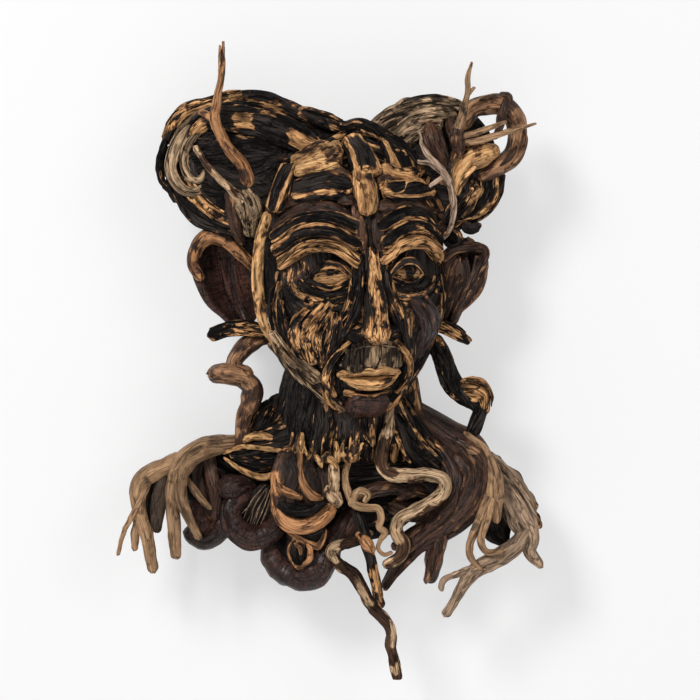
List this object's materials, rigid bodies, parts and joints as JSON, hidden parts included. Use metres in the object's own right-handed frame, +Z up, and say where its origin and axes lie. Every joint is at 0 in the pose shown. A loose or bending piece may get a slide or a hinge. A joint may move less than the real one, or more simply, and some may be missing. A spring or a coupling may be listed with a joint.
{
  "type": "wooden wall bust",
  "caption": "Life-size wall bust assembled from charred, grey and golden driftwood: a head with bundled root hair, ears with plugs, a neck, branching shoulders and a layered chest.",
  "frame": {"origin": "on the wall plane, in the flat back of the head block, straight behind the middle of the eye line", "axes": "+X to the viewer's right, +Y into the wall, +Z up; the bust looks along -Y, towards the viewer"},
  "size_m": [0.385, 0.173, 0.5735],
  "materials": {
    "charred_wood": "matt charred blue-black wood with fine grain",
    "charred_tan_wood": "charred wood with worn golden edges and patches",
    "golden_wood": "golden tan wood with dark flecks",
    "grey_driftwood": "dry grey-brown driftwood with dark cracks",
    "pale_driftwood": "pale beige smooth driftwood",
    "brown_root": "smooth dark brown root with a low sheen",
    "burl_wood": "dark maroon burl with fine radial grooves",
    "amber_wood": "orange-brown smooth wood"
  },
  "bodies": {
    "root": {"head_block": "charred_wood", "neck_trunk": "charred_wood", "chest_plank": "charred_wood", "left_bun_block": "charred_wood", "right_bun_block": "charred_wood", "left_hair_knuckle": "charred_wood", "crown_strip": "charred_wood", "left_collar": "charred_tan_wood", "right_collar": "charred_tan_wood", "left_hair_log": "charred_tan_wood", "left_hair_arc": "charred_tan_wood", "left_ear_plug": "charred_tan_wood", "right_ear_plug": "charred_tan_wood", "right_lock": "charred_tan_wood", "left_eye": "charred_tan_wood", "right_eye": "charred_tan_wood", "nose": "charred_tan_wood", "left_brow": "charred_tan_wood", "right_brow": "charred_tan_wood", "left_cheek": "charred_tan_wood", "crown_tile_middle": "charred_tan_wood", "crown_tile_right": "charred_tan_wood", "crown_tile_low_right": "charred_tan_wood", "crown_tile_left": "charred_tan_wood", "crown_tile_low_left": "charred_tan_wood", "short_low_twig": "charred_tan_wood", "crown_tile_fan": "golden_wood", "golden_flare": "golden_wood", "temple_band": "golden_wood", "upper_lip": "golden_wood", "lower_lip": "golden_wood", "left_hair_coil": "grey_driftwood", "left_hair_burr": "grey_driftwood", "right_hair_sweep": "grey_driftwood", "right_hair_strands": "grey_driftwood", "upright_twig": "grey_driftwood", "side_twigs": "grey_driftwood", "muzzle": "grey_driftwood", "left_shoulder_root": "grey_driftwood", "right_hand_root": "grey_driftwood", "right_shoulder_slab": "grey_driftwood", "left_grey_twig": "pale_driftwood", "pale_forked_twig": "pale_driftwood", "jaw_slab": "pale_driftwood", "zigzag_root": "pale_driftwood", "curly_vine": "pale_driftwood", "long_low_twig": "pale_driftwood", "right_hair_lobes": "brown_root", "loop_root": "brown_root", "right_ear": "brown_root", "left_lock": "brown_root", "right_shoulder_root": "brown_root", "left_inner_root": "brown_root", "left_ear": "burl_wood", "chin": "burl_wood", "right_cheek": "burl_wood", "burl_loop": "burl_wood", "lower_loop": "burl_wood", "antler_twig": "amber_wood", "breast_block": "amber_wood"}
  },
  "joints": []
}
